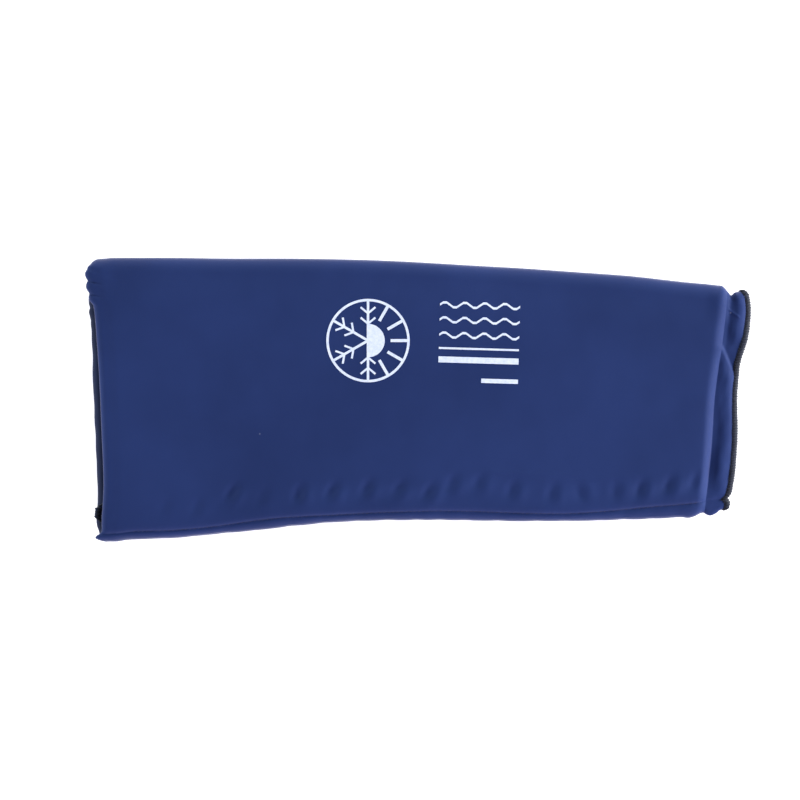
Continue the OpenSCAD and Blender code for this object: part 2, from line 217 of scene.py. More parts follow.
# ---------------------------------------------------------------- the tube's cross-section
def half_round(side, degrees, front):
    """Points round the folded side (1) or the seam side (0), with the front wall's share at each."""
    rows = []
    for angle, share in zip(degrees, front):
        c, s = math.cos(math.radians(angle)), math.sin(math.radians(angle))
        rows.append((side, OUTER_H * c, OUTER_H * s, INNER_H * c, INNER_H * s, 0, share, 0))
    return rows


def section():
    """The section's points, from under the fold over the front wall, the seam and the back wall.

    fold is 1 on the folded side and 0 on the seam side, oy oz and iy iz are the outer and the inner point,
    pinch is how far the inner layers are drawn up to the cover, front is the front wall's share, and bump is
    how far the point follows the seam's wander.
    """
    fold_turn = np.arange(-90, 90.1, 7.5)
    rows = half_round(1, fold_turn, smooth(-55, 55, fold_turn))
    # closer together over the narrow hem's folds
    for t in np.concatenate([np.arange(0.004, 0.18, 0.004), np.arange(0.184, 0.45, 0.007),
                             np.arange(0.455, 0.99, 0.0135)]):
        rows.append((1 - t, SEAM_REACH * t, OUTER_H, SEAM_REACH * t, INNER_H, 0, 1, 0))
    seam = np.array(SEAM_SECTION)
    at = np.concatenate([[0], np.cumsum(np.hypot(np.diff(seam[:, 0]), np.diff(seam[:, 1])))])
    for d in np.concatenate([np.arange(0, 16, 1.0), np.arange(16, at[-1], 0.55), [at[-1]]]):
        rows.append((0, *[float(through(d, np.c_[at, column])) for column in seam.T]))
    seam_turn = np.arange(187.5, 270.1, 7.5)
    rows += half_round(0, seam_turn, 0.35 * smooth(240, 180, seam_turn))
    back_steps = 60
    for t in np.arange(1, back_steps) / back_steps:
        rows.append((t, 0, -OUTER_H, 0, -INNER_H, 0, 0, 0))
    return dict(zip(("fold", "oy", "oz", "iy", "iz", "pinch", "front", "bump"), np.array(rows, float).T))


SECTION = section()
POINTS = len(SECTION["fold"])
AT_FOLD = SECTION["fold"] == 1
ON_SEAM = (SECTION["fold"] == 0) & (SECTION["oz"] > -0.01) & (SECTION["oy"] < SEAM_REACH + 0.5)
FROM_GROOVE = np.abs(SECTION["oy"] - GROOVE_Y) + np.abs(SECTION["oz"] - GROOVE_Z)
GROOVE = int(np.argmin(np.where(ON_SEAM, FROM_GROOVE, 99)))
PAST_GROOVE = np.arange(POINTS) > GROOVE
FLAT = np.flatnonzero((SECTION["oz"] == OUTER_H) & (SECTION["fold"] < 1) & (SECTION["oy"] < SEAM_REACH))

# the points whose ends follow the front wall's outline; the lip and the back wall follow the back's
ON_FRONT = SECTION["front"] > 0.99
WIDE_SHARE = np.where(AT_FOLD, smooth(-40, 40, np.degrees(np.arctan2(SECTION["oz"], SECTION["oy"]))),
                      np.where(ON_SEAM & PAST_GROOVE, smooth(-9.5, -8.4, SECTION["oy"]), ON_FRONT))
NARROW_SHARE = np.where(ON_SEAM & PAST_GROOVE, 0.0, np.where(AT_FOLD, WIDE_SHARE, ON_FRONT))
# the points that hang below the front's hem, and those that follow its folded corner
BELOW = np.where(PAST_GROOVE, smooth(-4, -8.5, SECTION["oy"]) * ON_SEAM
                 + (~ON_SEAM) * smooth(0.3, 0, SECTION["fold"]), 0)
TOP_EDGE = smooth(0.8, 1, SECTION["fold"])


# ---------------------------------------------------------------- the tube along the sleeve
def seam_line(x):
    """Where the seam's groove runs across the sleeve."""
    return through(x, SEAM_EDGE) + OUTER_H - SEAM_OFFSET + through(x, SEAM_SHIFT)


def leaned(x, y):
    """Where x comes to at y, as neither end is square to the sleeve."""
    u = np.clip((x - LEAN_FROM_X) / (NARROW_X - LEAN_FROM_X), 0, 1)
    return x - WIDE_LEAN * y * (1 - u) + NARROW_LEAN * y * u


def hem_folds(f, y):
    """The fold that runs down from the ridge to the hem's edge, and a faint crease above it."""
    fold_y, fold_run, fold_height = 31.5, 20.4, 1.5
    crease_y, crease_run, crease_height = 54.6, 10.1, 0.35
    square = 0.54                                 # turns a distance across into one square to the fold
    past = square * (y - fold_y + fold_run * f)
    kept = smooth(6, 17, y) * smooth(0.95, 0.45, f)
    fold = fold_height * kept * smooth(1.1, -1.1, past) * smooth(-14, -1.5, past)
    crease = crease_height * bell(y - crease_y + crease_run * f, 0.9)
    return fold + crease * smooth(0.05, 0.16, f) * smooth(0.62, 0.46, f)


def hem_height(f, y):
    """Heights of the narrow hem's face on the front and the back wall, f of the way to its edge."""
    table = np.array(HEM_FACE)
    steps = table.shape[1] - 2
    rows = np.stack([through(y, table[:, [0, c]]) for c in range(1, steps + 2)])
    g = np.clip(f, 0, 1) * steps
    i = np.clip(g.astype(int), 0, steps - 1)
    u = g - i
    p0, p1, p2, p3 = [np.take_along_axis(rows, np.clip(i + k, 0, steps)[None], 0)[0] for k in (-1, 0, 1, 2)]
    face = p1 + 0.5 * u * (p2 - p0 + u * (2 * p0 - 5 * p1 + 4 * p2 - p3 + u * (3 * (p1 - p2) + p3 - p0)))
    away = smooth(0.05, 0.3, f)
    face = face + hem_folds(f, y) + away * 0.12 * waves(f * 14, y, 9, 31)
    swing = 0.5 * np.sin(y / 8.5 + 1) * bell(f - 0.5, 0.4)
    rear = through(f, HEM_REAR) + away * (swing + 0.25 * waves(f * 14, y, 12, 32))
    return face, rear


def scallops(y):
    """The gathered corner of the rolled wide hem: small rounded bumps with creases between."""
    fade = smooth(38, 58, y) * smooth(79, 76, y)
    bumps = np.abs(np.sin(math.pi * (y - GATHER_Y) / GATHER_PITCH)) ** 0.8 - 0.45
    return -1.6 * fade * bumps + 0.3 * waves(y, 0 * y, 19, 41)


def wide_edge(y):
    """Where the wide end's cloth ends, from WIDE_X, at each point of the section."""
    front = through(y, WIDE_FRONT) + scallops(y) * smooth(54, 60, y)
    back = through(y, WIDE_BACK) + scallops(y) + 0.7 * smooth(56, 61, y)
    return WIDE_SHARE * front + (1 - WIDE_SHARE) * back - WIDE_X


def place(x, h, lift=0.0):
    """Points of the tube: a row for each x and height h, a column for each point of the section.

    Past the gel, h is counted from the narrow hem's own face. lift is how far the pinched layers rise.
    """
    x, h = np.asarray(x, float)[:, None], np.asarray(h, float)[:, None]
    at = {name: values[None, :] for name, values in SECTION.items()}
    h = h + at["pinch"] * np.asarray(lift, float).reshape(-1, 1)
    f = np.clip((x - NARROW_X) / (EDGE_X - NARROW_X), 0, 1.1)
    folded_side, seam_side = through(x, FOLD_EDGE) - OUTER_H, through(x, SEAM_EDGE) + OUTER_H
    middle = at["fold"] * folded_side + (1 - at["fold"]) * seam_side
    notch = 1.1 * smooth(172, 176, x) * smooth(184.5, 181.5, x)
    shift = at["bump"] * through(x, SEAM_SHIFT) - through(x, HANG) * BELOW
    shift = shift + (through(f, CORNER) + notch) * TOP_EDGE

    def across(h):
        t = (h - INNER_H) / (OUTER_H - INNER_H)
        return middle + at["iy"] + t * (at["oy"] - at["iy"]) + shift

    face, rear = hem_height(f + 0 * middle, across(5.0 + 0 * middle))
    hem = at["front"] * face + (1 - at["front"]) * rear
    fall = np.clip((x - SHOULDER_X) / (NARROW_X - SHOULDER_X), 0, 1) ** 2.4
    h = np.where(x > NARROW_X, h + hem, h - (OUTER_H - hem) * fall * smooth(3.1, 8, h))
    y = across(h)
    z = OUTER_H + at["iz"] + (h - INNER_H) / (OUTER_H - INNER_H) * (at["oz"] - at["iz"])
    ridge = through(y, RIDGE)
    gel_end = NARROW_X + NARROW_LEAN * y + ridge
    narrow_edge = NARROW_SHARE * through(y, NARROW_FRONT) + (1 - NARROW_SHARE) * through(y, NARROW_BACK)
    body = (leaned(x, y) + (wide_edge(y) + WIDE_LEAN * y) * smooth(-150, -186, x)
            + ridge * smooth(150, NARROW_X, x))
    along = np.where(x <= NARROW_X, body, gel_end + f * (narrow_edge - gel_end))
    return np.stack([along, y + 0 * x, z + 0 * x], -1)


def normals(p):
    """Unit normals of a grid of points whose rows close on themselves."""
    du = np.gradient(p, axis=0)
    dv = (np.roll(p, -1, 1) - np.roll(p, 1, 1)) / 2
    n = np.cross(dv, du)
    return n / np.maximum(np.linalg.norm(n, axis=-1, keepdims=True), 1e-9)


# ---------------------------------------------------------------- dents, creases and ripples
def puckers(x, above):
    """The dents beside the long seam, each a trough with a swell beside it."""
    out = np.zeros(np.broadcast(x, above).shape)
    for px, up, lean, size in PUCKERS:
        c, s = math.cos(math.radians(lean)), math.sin(math.radians(lean))
        dx, dy = x - px, above - up
        near = np.abs(dx) < 26
        along, over = dx * c + dy * s, dx * s - dy * c
        out = out + near * size * bell(along, 5.4) * (-1.2 * bell(over, 2.9) + 0.65 * bell(over - 6.2, 3.4))
    return out


def dents(x, y, front):
    """Height of the face over the plain tube."""
    above = y - seam_line(x)
    stitched = 0.12 * np.sin(x * 1.35 + 1.2 * np.sin(x / 17)) * bell(above - 0.5, 3)
    long_fold = 0.16 * bell(above - 25 + 0.02 * x, 1.2) * smooth(30, 50, x) * smooth(120, 90, x)
    short_fold = 0.13 * bell(above - 20.5, 1.0) * smooth(60, 75, x) * smooth(140, 120, x)
    swell = 0.20 * waves(x, y, 95, 11) + 0.06 * waves(x, y, 26, 12)
    droop = 1.1 * smooth(-19, 3, y - through(x, FOLD_EDGE) + OUTER_H)
    top = puckers(x, above) + stitched + long_fold + short_fold + swell - droop
    rear = 0.35 * waves(x, y, 70, 21) + 0.12 * waves(x, y, 22, 22)
    return front * top + (1 - front) * rear


def creases(x, y):
    """Short creases running in from the notches of the gathered corner."""
    from_edge = x - GATHER_X
    line = 1 - np.abs(np.sin(math.pi * (y - GATHER_Y + 0.25 * from_edge) / GATHER_PITCH))
    return -1.3 * line**4 * smooth(52, 57, y) * smooth(80, 77, y) * smooth(12, 2, from_edge)


def ripples(x):
    """Across the lip below the seam, one by each pucker."""
    out = np.zeros_like(x)
    for px, _, _, size in PUCKERS:
        out = out - 0.34 * size * bell(x - px + 5, 4.2)
    return out + 0.14 * waves(x, 0 * x, 33, 51)


def displaced(x, h, lift=0.0):
    """The tube's points with the dents, resting on the surface below."""
    p = place(x, h, lift)
    n = normals(p)
    xx = np.asarray(x, float)[:, None] + 0 * p[..., 0]
    body = smooth(-190, -176, xx) * smooth(177, 166, xx)
    flat = np.clip(np.abs(n[..., 2]), 0, 1) ** 2
    top = dents(p[..., 0], p[..., 1], SECTION["front"][None, :]) * flat
    resting = p[..., 2] < 2.5
    top = np.where(resting, np.minimum(top * 0.3, 0), top)
    lip = ((SECTION["bump"] > 0.2) & (SECTION["oy"] < -3.9)) | ((SECTION["fold"] == 0) & (SECTION["oy"] < -8))
    off_floor = p[..., 2] > 4
    lip_ripples = 0.8 * ripples(xx) * np.where(lip, 1, 0)[None, :] * off_floor
    fold_waves = 0.16 * np.where(AT_FOLD, 1, 0)[None, :] * waves(xx, p[..., 2] * 2, 40, 61) * (1 - flat)
    corner = creases(p[..., 0], p[..., 1]) * flat * SECTION["front"][None, :]
    p = p + n * ((top + lip_ripples + fold_waves) * body + corner)[..., None]
    p[..., 2] = np.maximum(p[..., 2], 0)
    return p


# ---------------------------------------------------------------- mesh helpers
def mesh(name, verts, faces, material):
    """An object of points in millimetres, shaded smooth."""
    data = bpy.data.meshes.new(name)
    data.from_pydata((np.asarray(verts) / 1000).tolist(), [], faces)
    data.validate()
    data.update()
    data.polygons.foreach_set("use_smooth", [True] * len(data.polygons))
    data.materials.append(material)
    o = bpy.data.objects.new(name, data)
    bpy.context.scene.collection.objects.link(o)
    return o


def grid_faces(rows, columns, closed, start=0, flip=False):
    """Quads between neighbouring rows of points; closed joins the last column to the first."""
    i = np.arange(rows - 1)[:, None]
    j = np.arange(columns if closed else columns - 1)[None, :]
    k = (j + 1) % columns
    q = start + np.stack([i * columns + j, i * columns + k, (i + 1) * columns + k, (i + 1) * columns + j], -1)
    q = q.reshape(-1, 4)
    return q[:, ::-1] if flip else q


def ring_faces(rings, sides, closed):
    """Faces of a tube of rings, joined end to start when closed and capped when not."""
    f = grid_faces(rings + (1 if closed else 0), sides, True)
    if closed:
        return (f % (rings * sides)).tolist()
    last = (rings - 1) * sides
    return f.tolist() + [list(range(sides))[::-1], [last + i for i in range(sides)]]


def tube_shell(name, outer, inner, material):
    """A tube of cloth: outer and inner faces, joined along both ends."""
    rows, columns = outer.shape[:2]
    points = np.concatenate([outer.reshape(-1, 3), inner.reshape(-1, 3)])
    n = rows * columns
    j = np.arange(columns)
    k = (j + 1) % columns
    end = (rows - 1) * columns
    f = [grid_faces(rows, columns, True), grid_faces(rows, columns, True, n, True),
         np.stack([j, j + n, k + n, k], -1),
         np.stack([end + j, end + k, end + k + n, end + j + n], -1)]
    return mesh(name, points, np.concatenate(f).tolist(), material)


def slab(name, top, low, material):
    """A closed pad between two open grids."""
    rows, columns = top.shape[:2]
    points = np.concatenate([top.reshape(-1, 3), low.reshape(-1, 3)])
    n = rows * columns
    j = np.arange(columns - 1)
    end = (rows - 1) * columns
    i = np.arange(rows - 1) * columns
    g = i + columns - 1
    f = [grid_faces(rows, columns, False), grid_faces(rows, columns, False, n, True),
         np.stack([j, j + n, j + 1 + n, j + 1], -1),
         np.stack([end + j, end + j + 1, end + j + 1 + n, end + j + n], -1),
         np.stack([i, i + columns, i + columns + n, i + n], -1),
         np.stack([g, g + n, g + columns + n, g + columns], -1)]
    return mesh(name, points, np.concatenate(f).tolist(), material)


def unit(v):
    return v / np.maximum(np.linalg.norm(v, axis=1, keepdims=True), 1e-9)


def square_to(v, t):
    """The unit part of each v that is square to the unit t."""
    return unit(v - (v * t).sum(1, keepdims=True) * t)


def strand(points, radius, sides, closed=False):
    """Points and faces of a round thread."""
    p = np.asarray(points, float)
    ahead = unit(np.roll(p, -1, 0) - np.roll(p, 1, 0) if closed else np.gradient(p, axis=0))
    out = square_to(np.tile([0.13, 0.31, 0.94], (len(p), 1)), ahead)
    up = np.cross(ahead, out)
    a = np.arange(sides) * 2 * math.pi / sides
    ring = np.cos(a)[None, :, None] * out[:, None] + np.sin(a)[None, :, None] * up[:, None]
    return (p[:, None] + radius * ring).reshape(-1, 3), ring_faces(len(p), sides, closed)


def join(parts):
    """Several (points, faces) as one."""
    points, faces, n = [], [], 0
    for v, f in parts:
        points.append(v)
        faces += [[i + n for i in q] for q in f]
        n += len(v)
    return np.concatenate(points), faces


def resample(step, closed, line, *more):
    """Even points along a line and other columns carried along, with their distances and the length."""
    looped = np.concatenate([line, line[:1]]) if closed else line
    at = np.concatenate([[0], np.cumsum(np.linalg.norm(np.diff(looped, axis=0), axis=1))])
    s = np.linspace(0, at[-1], max(8, int(round(at[-1] / step))), endpoint=not closed)
    out = []
    for values in (line, *more):
        values = np.concatenate([values, values[:1]]) if closed else values
        out.append(np.stack([np.interp(s, at, values[:, c]) for c in range(3)], 1))
    return s, at[-1], out


def cloth_edge(step, closed, edge, along, side):
    """Even points along a cloth's edge, with unit directions out of it and square to its face."""
    s, total, (e, t, n) = resample(step, closed, edge, along, side)
    t = unit(t)
    return s, total, e, t, square_to(n, t)


def overlock(edge, along, side, closed, pitch=1.6, wide=2.1, thick=1.35, thread=0.36, turns=12, sides=5):
    """Two threads wound round a cloth's edge in opposite turns, over a core that closes the gaps."""
    beyond = 0.3                                  # how far the winding reaches past the cloth's edge
    s, total, e, t, n = cloth_edge(pitch / turns, closed, edge, along, side)
    mid = e - t * (wide - beyond)
    count = round(total / pitch)
    parts = []
    for k, (turn, lift) in enumerate(((1, 0.0), (-1, 0.16))):
        a = turn * (2 * math.pi * count * s / total) + k * 1.3
        wobble = 1 + 0.05 * np.sin(s * 0.9 + k) + 0.04 * np.sin(s * 2.3 + 2 * k)
        across = (wide + lift) * wobble * np.cos(a)
        up = (thick + lift) * np.sin(a)
        parts.append(strand(mid + t * across[:, None] + n * up[:, None], thread, sides, closed))
    core_sides = 14
    _, _, e, t, n = cloth_edge(1.2, closed, edge, along, side)
    a = np.linspace(0, 2 * math.pi, core_sides, endpoint=False)
    ring = (t[:, None] * ((wide + 0.1) * np.cos(a))[None, :, None]
            + n[:, None] * ((thick - 0.05) * np.sin(a))[None, :, None])
    core = (e - t * (wide - beyond))[:, None] + ring
    parts.append((core.reshape(-1, 3), ring_faces(len(e), core_sides, closed)))
    return join(parts)


# ---------------------------------------------------------------- materials
def new_material(name):
    """A material, its node tree, its shader and the object's own coordinates."""
    m = bpy.data.materials.new(name)
    m.use_nodes = True
    tree = m.node_tree
    return m, tree, tree.nodes["Principled BSDF"], node(tree, "ShaderNodeTexCoord").outputs["Object"]


def node(tree, kind, **values):
    """A node with the given settings and input values."""
    n = tree.nodes.new(kind)
    for k, v in values.items():
        if k in n.inputs:
            n.inputs[k].default_value = v
        else:
            setattr(n, k, v)
    return n


def texture(tree, kind, place_from, **values):
    """A texture node that reads the given coordinates."""
    n = node(tree, kind, **values)
    tree.links.new(place_from, n.inputs["Vector"])
    return n


def ramp(tree, factor, stops):
    """The colour that (place, colour) stops give for a factor."""
    r = tree.nodes.new("ShaderNodeValToRGB")
    for i, (at, colour) in enumerate(stops):
        r.color_ramp.elements[i].position = at
        r.color_ramp.elements[i].color = colour
    tree.links.new(factor, r.inputs["Fac"])
    return r.outputs["Color"]


def combine(tree, operation, first, second, third=None):
    """Maths on links; second may be a plain number."""
    n = node(tree, "ShaderNodeMath", operation=operation)
    for i, value in enumerate((first, second, third)):
        if isinstance(value, (int, float)):
            n.inputs[i].default_value = value
        elif value is not None:
            tree.links.new(value, n.inputs[i])
    return n.outputs[0]


def bump(tree, height, strength, distance, below=None):
    """A bump from a height, on top of the one below."""
    n = node(tree, "ShaderNodeBump", Strength=strength, Distance=distance)
    tree.links.new(height, n.inputs["Height"])
    if below is not None:
        tree.links.new(below, n.inputs["Normal"])
    return n.outputs["Normal"]


def grey(value):
    return (value, value, value, 1)


def srgb(r, g, b):
    """A screen colour, 0 to 255, as a shader colour."""
    def linear(c):
        return (c / 255 / 12.92) if c <= 10 else ((c / 255 + 0.055) / 1.055) ** 2.4
    return (linear(r), linear(g), linear(b), 1)


def linted(tree, where, colour):
    """The colour with a few pale specks of fluff."""
    fluff = texture(tree, "ShaderNodeTexVoronoi", where, Scale=55.0)
    speck = ramp(tree, fluff.outputs["Distance"], [(0.018, grey(1)), (0.034, grey(0))])
    chance = ramp(tree, fluff.outputs["Color"], [(0.55, grey(0)), (0.8, grey(0.22))])
    pale = node(tree, "ShaderNodeMixRGB", Color2=(0.4, 0.45, 0.6, 1))
    tree.links.new(combine(tree, "MULTIPLY", speck, chance), pale.inputs["Fac"])
    tree.links.new(colour, pale.inputs["Color1"])
    return pale.outputs["Color"]


def knit(name, dark, light, rough=0.75, sheen=0.38, lint=True):
    """Fine stretch knit: columns of small loops, soft mottling and a little lint."""
    m, tree, shader, where = new_material(name)
    big = texture(tree, "ShaderNodeTexNoise", where, Scale=14.0, Detail=3.0, Roughness=0.55)
    fine = texture(tree, "ShaderNodeTexNoise", where, Scale=900.0, Detail=2.0, Roughness=0.6)
    columns = texture(tree, "ShaderNodeTexWave", where, Scale=900.0, Distortion=0.5, Detail=1.0,
                      bands_direction="Y")
    rows = texture(tree, "ShaderNodeTexWave", where, Scale=720.0, Distortion=0.7, Detail=1.0,
                   bands_direction="X")
    mottle = combine(tree, "MULTIPLY_ADD", fine.outputs["Fac"], 0.25, big.outputs["Fac"])
    colour = ramp(tree, mottle, [(0.4, dark), (0.8, light)])
    tree.links.new(linted(tree, where, colour) if lint else colour, shader.inputs["Base Color"])
    loops = combine(tree, "MULTIPLY", columns.outputs["Fac"], rows.outputs["Fac"])
    loop_bump = bump(tree, loops, 0.35, 0.00004)
    tree.links.new(bump(tree, fine.outputs["Fac"], 0.3, 0.00012, loop_bump), shader.inputs["Normal"])
    roughness = ramp(tree, fine.outputs["Fac"], [(0.3, grey(rough - 0.06)), (0.7, grey(rough + 0.06))])
    tree.links.new(roughness, shader.inputs["Roughness"])
    shader.inputs["Sheen Weight"].default_value = sheen
    shader.inputs["Sheen Roughness"].default_value = 0.35
    shader.inputs["Sheen Tint"].default_value = (0.96, 0.92, 1, 1)
    shader.inputs["Specular IOR Level"].default_value = 0.18
    return m


def yarn(name, dark, light, sheen):
    """Twisted thread."""
    m, tree, shader, where = new_material(name)
    fibres = texture(tree, "ShaderNodeTexNoise", where, Scale=900.0, Detail=3.0, Roughness=0.65)
    shade = texture(tree, "ShaderNodeTexNoise", where, Scale=90.0, Detail=2.0)
    mottle = combine(tree, "MULTIPLY_ADD", shade.outputs["Fac"], 0.5, fibres.outputs["Fac"])
    tree.links.new(ramp(tree, mottle, [(0.5, dark), (0.98, light)]), shader.inputs["Base Color"])
    tree.links.new(bump(tree, fibres.outputs["Fac"], 0.6, 0.0002), shader.inputs["Normal"])
    shader.inputs["Roughness"].default_value = 0.6
    shader.inputs["Sheen Weight"].default_value = sheen
    shader.inputs["Specular IOR Level"].default_value = 0.2
    return m


def print_ink(name):
    """Matte transfer print, with the cloth's grain showing through."""
    m, tree, shader, where = new_material(name)
    grain = texture(tree, "ShaderNodeTexNoise", where, Scale=650.0, Detail=2.0, Roughness=0.6)
    colour = ramp(tree, grain.outputs["Fac"], [(0.3, srgb(196, 210, 238)), (0.62, srgb(216, 226, 246))])
    tree.links.new(colour, shader.inputs["Base Color"])
    tree.links.new(bump(tree, grain.outputs["Fac"], 0.3, 0.0001), shader.inputs["Normal"])
    shader.inputs["Roughness"].default_value = 0.55
    return m


def jelly(name, colour, rough):
    """Gel or film, slightly clouded."""
    m, tree, shader, where = new_material(name)
    cloud = texture(tree, "ShaderNodeTexNoise", where, Scale=60.0, Detail=4.0)
    darker = tuple(v * 0.8 for v in colour[:3]) + (1,)
    tree.links.new(ramp(tree, cloud.outputs["Fac"], [(0.35, darker), (0.7, colour)]),
                   shader.inputs["Base Color"])
    shader.inputs["Roughness"].default_value = rough
    shader.inputs["Transmission Weight"].default_value = 0.2
    return m


cloth = knit("navy_stretch_knit", srgb(16, 37, 86), srgb(23, 44, 96))
# The rolled hem is the same navy cloth as the cover; this darker copy is painted shade for the shadow under
# the front wall's edge.
painted_shade_cloth = knit("rolled_hem_painted_shade_knit", srgb(14, 24, 52), srgb(22, 34, 68), sheen=0.4, lint=False)
inside = knit("lining_knit", srgb(20, 38, 86), srgb(27, 46, 98), rough=0.82, sheen=0.2, lint=False)
thread = yarn("charcoal_overlock_thread", srgb(17, 21, 33), srgb(36, 42, 59), sheen=0.0)
navy_thread = yarn("navy_seam_thread", srgb(16, 26, 62), srgb(34, 46, 92), sheen=0.1)
ink = print_ink("pale_transfer_print")
gel = jelly("blue_gel", srgb(96, 160, 214), 0.25)
film = jelly("clear_film", srgb(190, 202, 220), 0.3)


# ---------------------------------------------------------------- the outer cover
def cover_path():
    """(x, height) of the cover's face, from the turned-in edge round the rolled hem to the narrow edge."""
    points = [(ROLL_X + s, TUCK_H) for s in np.linspace(TUCK_LENGTH, 0.8, 9)]
    for a in np.linspace(270, 90, 19):
        points.append((ROLL_X + ROLL_LENGTH * math.cos(math.radians(a)),
                       TUCK_H + ROLL + ROLL * math.sin(math.radians(a))))
    body = np.concatenate([np.arange(ROLL_X + 0.6, ROLL_X + 10, 0.6), np.arange(ROLL_X + 10.5, 163, 1.6)])
    points += [(x, OUTER_H - EDGE_DROP * smooth(ROLL_X + 7, ROLL_X, x)) for x in body]
    shoulder = np.concatenate([np.arange(164, 172, 1.3), np.arange(172.5, 177.5, 0.5),
                               [177.6, 177.9, NARROW_X]])
    points += [(x, OUTER_H) for x in shoulder]
    points += [(x, 0) for x in np.arange(NARROW_X + 0.35, EDGE_X, 0.5)] + [(EDGE_X, 0)]
    return np.array(points).T


path_x, path_h = cover_path()
TUCK = (path_x > ROLL_X + 0.5) & (path_x < ROLL_X + TUCK_LENGTH + 0.1) & (path_h < TUCK_H + 0.01)
ROLLED = TUCK | ((path_x <= ROLL_X + 0.01) & (path_h < OUTER_H - EDGE_DROP + 0.01))
FLAP = TUCK * (path_x - ROLL_X) / TUCK_LENGTH


def slipped_out(points):
    """Near the seam the back wall's turned-in edge has slipped out of the mouth."""
    slip, rise = 12.6, 1.1
    y = points[..., 1]
    w = smooth(-76, -72.5, y) * smooth(-61.5, -65, y) * (1 - WIDE_SHARE) * FLAP[:, None]
    out = points.copy()
    out[..., 0] -= slip * w
    out[..., 2] += rise * w
    return out


face = slipped_out(displaced(path_x, path_h))
cover = tube_shell("outer_cover", face, face - normals(face) * COVER_T, cloth)
# The faces up to the roll's middle height take the darker copy: painted shade on the same cloth, not a
# different knit.
cover.data.materials.append(painted_shade_cloth)
turned_faces = int(np.argmax(path_h > TUCK_H + ROLL)) * POINTS
turned = [int(i < turned_faces) for i in range(len(cover.data.polygons))]
cover.data.polygons.foreach_set("material_index", turned)

# ---------------------------------------------------------------- the lining
under = COVER_T + AIR
roll_in = ROLL_X + (path_x - ROLL_X) * (ROLL_LENGTH - under) / ROLL_LENGTH
line_x = np.where(ROLLED & ~TUCK, roll_in, path_x)
line_h = np.where(ROLLED, TUCK_H + ROLL + (path_h - TUCK_H - ROLL) * ((ROLL - under) / ROLL), path_h - under)
# it leaves the cover to pass under the gel, between the two ends
drop = smooth(-184, -176, path_x) * smooth(NARROW_X - 0.1, NARROW_X - 2.4, path_x)
drop = np.where(ROLLED, 0, drop)
line_h = line_h * (1 - drop) + (INNER_H + LINING_T) * drop
lining_out = slipped_out(displaced(line_x, line_h, SEAM_LIFT * drop))
lining_in = lining_out - normals(lining_out) * LINING_T
lining = tube_shell("inner_lining", lining_out, lining_in, inside)

# ---------------------------------------------------------------- gel and films
GEL_X = np.concatenate([[-171, -170.6, -169.6, -168], np.arange(-165, 170, 3.3),
                        [172.4, 173.8, 174.8, 175.3]])
GEL_FILL = np.ones(len(GEL_X))                    # share of the full thickness, rounded at both ends
GEL_FILL[:3] = 0.25, 0.6, 0.86
GEL_FILL[-3:] = 0.75, 0.5, 0.2
mid_fold = int(np.argmin(np.abs(SECTION["oz"][AT_FOLD])))
FRONT_POINTS = np.arange(mid_fold + 1, GROOVE - 4)
BACK_POINTS = np.concatenate([np.arange(GROOVE + 5, POINTS), np.arange(0, mid_fold)])


def level(height):
    return np.full(len(GEL_X), height)


def gel_pad(name, points):
    top = displaced(GEL_X, GEL_LOW + (GEL_HIGH - GEL_LOW) * GEL_FILL)
    base = place(GEL_X, level(GEL_LOW), GEL_LIFT)
    return slab(name, top[:, points], base[:, points], gel)


def seal_film(name, points, low, high, lift):
    top = displaced(GEL_X, level(high), lift)
    base = displaced(GEL_X, level(low), lift)
    return slab(name, top[:, points], base[:, points], film)


pads = {}
for wall, points in (("front", FRONT_POINTS), ("back", BACK_POINTS)):
    pads[wall + "_gel_pad"] = gel_pad(wall + "_gel_pad", points)
    pads[wall + "_outer_seal_film"] = seal_film(wall + "_outer_seal_film", points, GEL_HIGH + AIR,
                                                GEL_HIGH + FILM_T + AIR, 0)
    pads[wall + "_inner_seal_film"] = seal_film(wall + "_inner_seal_film", points, GEL_LOW - AIR - FILM_T,
                                                GEL_LOW - AIR, GEL_LIFT)

# ---------------------------------------------------------------- thread round the hems
narrow_threads = overlock((face[-1] + lining_in[-1]) / 2, face[-1] - face[-3], face[-1] - lining_in[-1], True)
narrow_overlock = mesh("narrow_hem_overlock", *narrow_threads, thread)
wide_threads = overlock((face[0] + lining_in[0]) / 2, face[0] - face[2], lining_in[0] - face[0], True)
wide_overlock = mesh("wide_hem_overlock", *wide_threads, thread)


# ---------------------------------------------------------------- the long seam
def seam_threads():
    """Short stitches in the seam's groove, one to each pitch."""
    pitch = 2.6
    begins, ends = 0.25, 2.15                     # within its pitch
    seam_end_x = 172
    arch, slant, radius = 0.25, 0.18, 0.16
    steps = 7
    groove = face[:, GROOVE]
    keep = ~ROLLED & (groove[:, 0] > -seam_end_x) & (groove[:, 0] < seam_end_x)
    s, total, (line,) = resample(0.5, False, groove[keep])
    parts = []
    for k in range(int(total / pitch) - 1):
        u = np.linspace(k * pitch + begins, k * pitch + ends, steps)
        p = np.stack([np.interp(u, s, line[:, c]) for c in range(3)], 1)
        p[:, 2] += arch * np.sin(np.linspace(0, math.pi, steps))
        p[:, 1] += slant * np.linspace(-1, 1, steps)
        parts.append(strand(p, radius, 5))
    return join(parts)


seam_stitches = mesh("long_seam_stitches", *seam_threads(), navy_thread)

